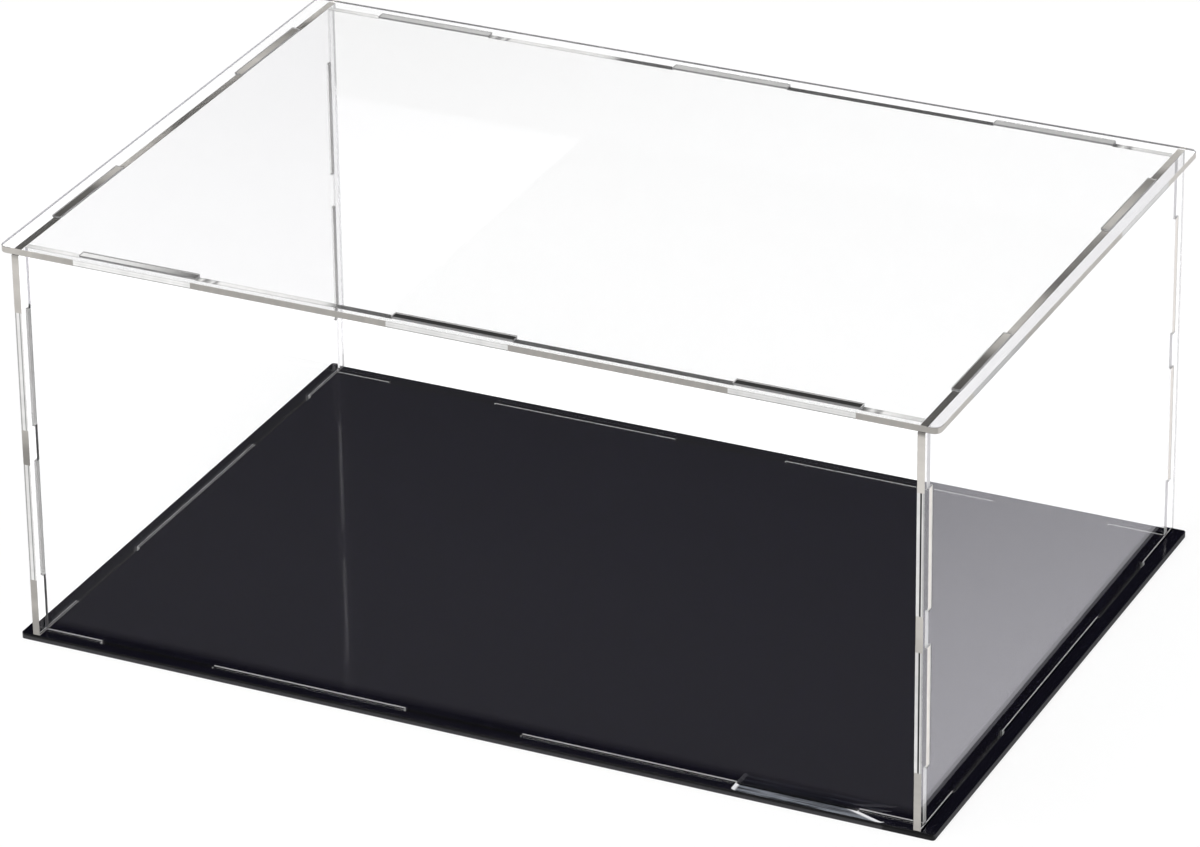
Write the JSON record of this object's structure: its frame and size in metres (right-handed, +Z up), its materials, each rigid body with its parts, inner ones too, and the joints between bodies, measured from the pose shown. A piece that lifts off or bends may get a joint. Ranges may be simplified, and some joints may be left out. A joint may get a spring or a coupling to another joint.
{
  "type": "acrylic display case",
  "caption": "Rectangular countertop display case of flat clear plates on a black base, locked together by tabs in slots; the walls lift off the base and the top lifts off the walls.",
  "frame": {"origin": "centre of the base plate's underside, which is the middle of the bottom of the bounding box", "axes": "+X to the right along the case's length, +Y to the back, +Z up; the front is at -Y"},
  "size_m": [0.45, 0.308, 0.198],
  "materials": {
    "black_acrylic": "polished",
    "clear_acrylic": "polished"
  },
  "bodies": {
    "base": {"base_plate": "black_acrylic"},
    "walls": {"front_wall": "clear_acrylic", "back_wall": "clear_acrylic", "left_wall": "clear_acrylic", "right_wall": "clear_acrylic"},
    "top": {"top_plate": "clear_acrylic"}
  },
  "joints": [
    {"name": "walls_lift", "type": "slide", "parent": "base", "child": "walls", "axis": [0, 0, 1], "range_m": [0, 0.22]},
    {"name": "top_lift", "type": "slide", "parent": "walls", "child": "top", "axis": [0, 0, 1], "range_m": [0, 0.1]}
  ]
}
